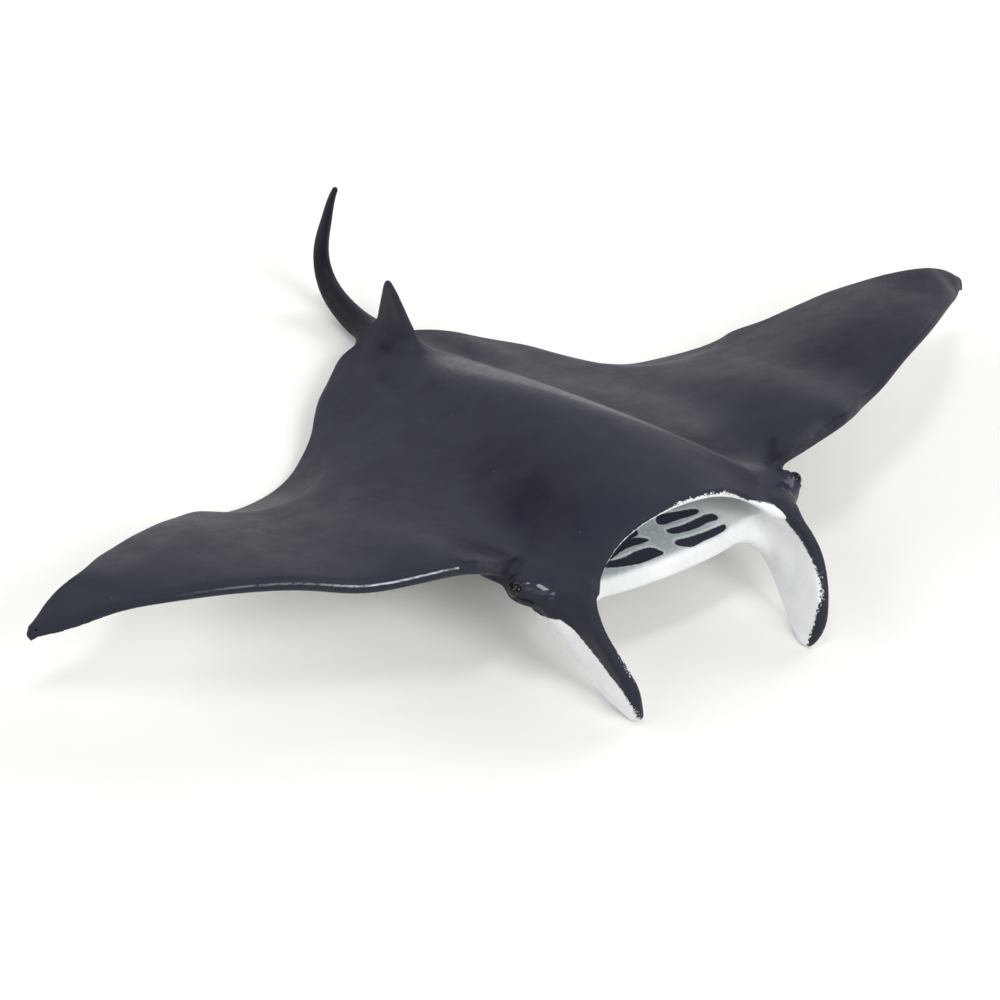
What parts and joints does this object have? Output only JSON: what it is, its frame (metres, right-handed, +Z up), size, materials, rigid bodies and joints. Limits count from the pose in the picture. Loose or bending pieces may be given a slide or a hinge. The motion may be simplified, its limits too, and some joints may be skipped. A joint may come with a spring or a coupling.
{
  "type": "manta ray toy figure",
  "caption": "Solid moulded, hand-painted plastic manta ray figure, posed swimming with raised wavy wings, unrolled head fins, open mouth and a tail that curls up.",
  "frame": {"origin": "centre of the bounding box's footprint, on the level that the figure rests on", "axes": "+X to the animal's left, across the wings; -Y towards the head; +Z up from the surface it rests on"},
  "size_m": [0.1804, 0.1168, 0.025],
  "materials": {
    "painted_skin": "satin slate blue hand paint over white soft plastic, dry brushed, white under the jaw and belly",
    "eye_gloss": "gloss black varnish with an olive ring"
  },
  "bodies": {
    "root": {"head": "painted_skin", "trunk": "painted_skin", "lower_jaw": "painted_skin", "wing_left": "painted_skin", "wing_right": "painted_skin", "cephalic_fin_left": "painted_skin", "cephalic_fin_right": "painted_skin", "dorsal_fin": "painted_skin", "tail_base": "painted_skin", "tail_tip": "painted_skin", "eye_left": "eye_gloss", "eye_right": "eye_gloss"}
  },
  "joints": []
}
